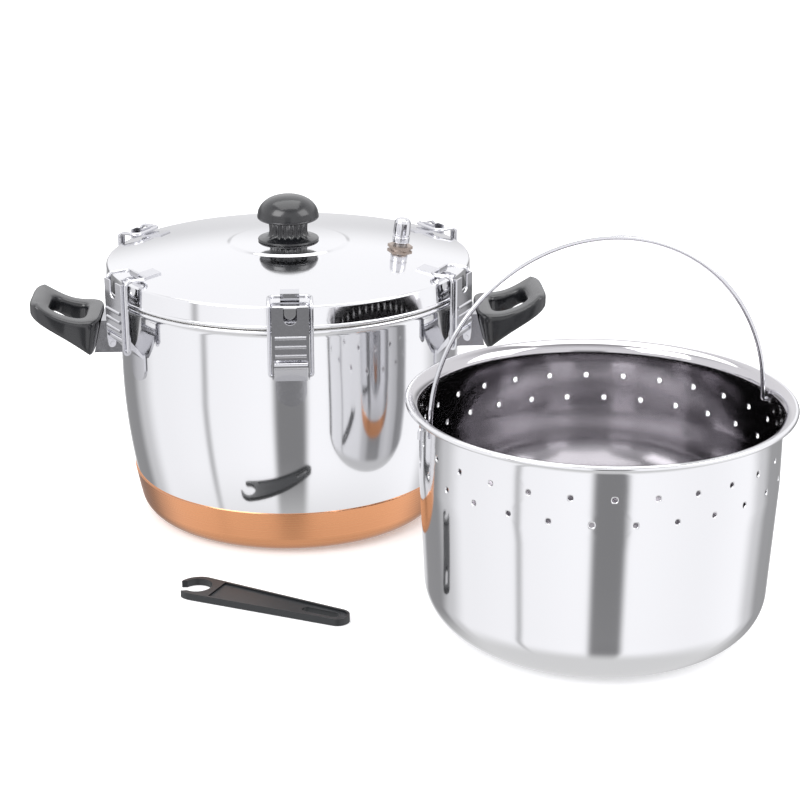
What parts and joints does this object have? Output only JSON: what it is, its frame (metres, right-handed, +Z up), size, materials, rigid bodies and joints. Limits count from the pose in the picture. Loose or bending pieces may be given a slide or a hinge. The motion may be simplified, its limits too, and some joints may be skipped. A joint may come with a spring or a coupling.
{
  "type": "pressure canner",
  "caption": "Copper-bottomed steel pot with a domed lid held by toggle clamps, loop handles, a perforated lift-out basket with a wire bail, and an opening key.",
  "frame": {"origin": "centre of the pot's base, on the surface it stands on", "axes": "+Z up; +X along the line through both handles, towards the basket's side; -Y towards the key"},
  "size_m": [0.47, 0.452, 0.2389],
  "materials": {
    "polished_steel": "mirror-polished stainless steel",
    "clamp_steel": "bright plated spring steel",
    "handle_steel": "pressed stainless steel",
    "copper": "spun and polished copper",
    "bakelite": "moulded phenolic, gloss",
    "key_plastic": "moulded nylon",
    "silicone": "moulded silicone",
    "zinc": "zinc-plated steel",
    "bronze": "turned bronze"
  },
  "bodies": {
    "root": {"pot_body": "polished_steel", "copper_base": "copper", "handle_bracket_right": "handle_steel", "handle_bracket_left": "handle_steel", "handle_grip_right": "bakelite", "handle_grip_left": "bakelite", "handle_screw_right": "zinc", "handle_screw_left": "zinc", "clamp_strap_1": "clamp_steel", "clamp_strap_2": "clamp_steel", "clamp_strap_3": "clamp_steel", "clamp_strap_4": "clamp_steel", "clamp_strap_5": "clamp_steel", "clamp_strap_6": "clamp_steel", "clamp_pin_1": "zinc", "clamp_pin_2": "zinc", "clamp_pin_3": "zinc", "clamp_pin_4": "zinc", "clamp_pin_5": "zinc", "clamp_pin_6": "zinc"},
    "lid": {"lid_shell": "polished_steel", "lid_seal": "silicone", "knob": "bakelite", "knob_screw": "zinc", "knob_washer": "zinc", "vent_pipe": "zinc", "vent_seat": "bronze", "vent_nut": "zinc", "lid_keeper_1": "clamp_steel", "lid_keeper_2": "clamp_steel", "lid_keeper_3": "clamp_steel", "lid_keeper_4": "clamp_steel", "lid_keeper_5": "clamp_steel", "lid_keeper_6": "clamp_steel"},
    "weight": {"vent_weight": "clamp_steel"},
    "lever_1": {"clamp_lever_1": "clamp_steel"},
    "bail_1": {"clamp_bail_1": "clamp_steel"},
    "lever_2": {"clamp_lever_2": "clamp_steel"},
    "bail_2": {"clamp_bail_2": "clamp_steel"},
    "lever_3": {"clamp_lever_3": "clamp_steel"},
    "bail_3": {"clamp_bail_3": "clamp_steel"},
    "lever_4": {"clamp_lever_4": "clamp_steel"},
    "bail_4": {"clamp_bail_4": "clamp_steel"},
    "lever_5": {"clamp_lever_5": "clamp_steel"},
    "bail_5": {"clamp_bail_5": "clamp_steel"},
    "lever_6": {"clamp_lever_6": "clamp_steel"},
    "bail_6": {"clamp_bail_6": "clamp_steel"},
    "basket": {"basket": "polished_steel"},
    "basket_handle": {"basket_bail": "clamp_steel"},
    "key": {"opening_key": "key_plastic"}
  },
  "joints": [
    {"name": "lid_lift", "type": "slide", "parent": "root", "child": "lid", "axis": [0, 0, 1], "range_m": [0, 0.18]},
    {"name": "weight_lift", "type": "slide", "parent": "lid", "child": "weight", "axis": [0.1107, -0.0175, 0.9937], "range_m": [0, 0.02]},
    {"name": "lever_1_turn", "type": "hinge", "parent": "root", "child": "lever_1", "pos_m": [0, -0.128, 0.1385], "axis": [1, 0, 0], "range_deg": [0, 165]},
    {"name": "bail_1_turn", "type": "hinge", "parent": "lever_1", "child": "bail_1", "pos_m": [0, -0.128, 0.1322], "axis": [1, 0, 0], "range_deg": [-145, 0]},
    {"name": "lever_2_turn", "type": "hinge", "parent": "root", "child": "lever_2", "pos_m": [0.11085, -0.064, 0.1385], "axis": [0.5, 0.866, 0], "range_deg": [0, 165]},
    {"name": "bail_2_turn", "type": "hinge", "parent": "lever_2", "child": "bail_2", "pos_m": [0.11085, -0.064, 0.1322], "axis": [0.5, 0.866, 0], "range_deg": [-145, 0]},
    {"name": "lever_3_turn", "type": "hinge", "parent": "root", "child": "lever_3", "pos_m": [0.11085, 0.064, 0.1385], "axis": [-0.5, 0.866, 0], "range_deg": [0, 165]},
    {"name": "bail_3_turn", "type": "hinge", "parent": "lever_3", "child": "bail_3", "pos_m": [0.11085, 0.064, 0.1322], "axis": [-0.5, 0.866, 0], "range_deg": [-145, 0]},
    {"name": "lever_4_turn", "type": "hinge", "parent": "root", "child": "lever_4", "pos_m": [0, 0.128, 0.1385], "axis": [-1, 0, 0], "range_deg": [0, 165]},
    {"name": "bail_4_turn", "type": "hinge", "parent": "lever_4", "child": "bail_4", "pos_m": [0, 0.128, 0.1322], "axis": [-1, 0, 0], "range_deg": [-145, 0]},
    {"name": "lever_5_turn", "type": "hinge", "parent": "root", "child": "lever_5", "pos_m": [-0.11085, 0.064, 0.1385], "axis": [-0.5, -0.866, 0], "range_deg": [0, 165]},
    {"name": "bail_5_turn", "type": "hinge", "parent": "lever_5", "child": "bail_5", "pos_m": [-0.11085, 0.064, 0.1322], "axis": [-0.5, -0.866, 0], "range_deg": [-145, 0]},
    {"name": "lever_6_turn", "type": "hinge", "parent": "root", "child": "lever_6", "pos_m": [-0.11085, -0.064, 0.1385], "axis": [0.5, -0.866, 0], "range_deg": [0, 165]},
    {"name": "bail_6_turn", "type": "hinge", "parent": "lever_6", "child": "bail_6", "pos_m": [-0.11085, -0.064, 0.1322], "axis": [0.5, -0.866, 0], "range_deg": [-145, 0]},
    {"name": "basket_lift", "type": "slide", "parent": "root", "child": "basket", "axis": [0, 0, 1], "range_m": [0, 0.16]},
    {"name": "basket_bail_turn", "type": "hinge", "parent": "basket", "child": "basket_handle", "pos_m": [0.181, -0.205, 0.131], "axis": [0.9816, 0.1908, 0], "range_deg": [-80, 80]},
    {"name": "key_lift", "type": "slide", "parent": "root", "child": "key", "axis": [0, 0, 1], "range_m": [0, 0.1]}
  ],
  "couplings": [
    {"joint": "bail_1_turn", "follows": "lever_1_turn", "ratio": -0.87},
    {"joint": "bail_2_turn", "follows": "lever_2_turn", "ratio": -0.87},
    {"joint": "bail_3_turn", "follows": "lever_3_turn", "ratio": -0.87},
    {"joint": "bail_4_turn", "follows": "lever_4_turn", "ratio": -0.87},
    {"joint": "bail_5_turn", "follows": "lever_5_turn", "ratio": -0.87},
    {"joint": "bail_6_turn", "follows": "lever_6_turn", "ratio": -0.87}
  ]
}
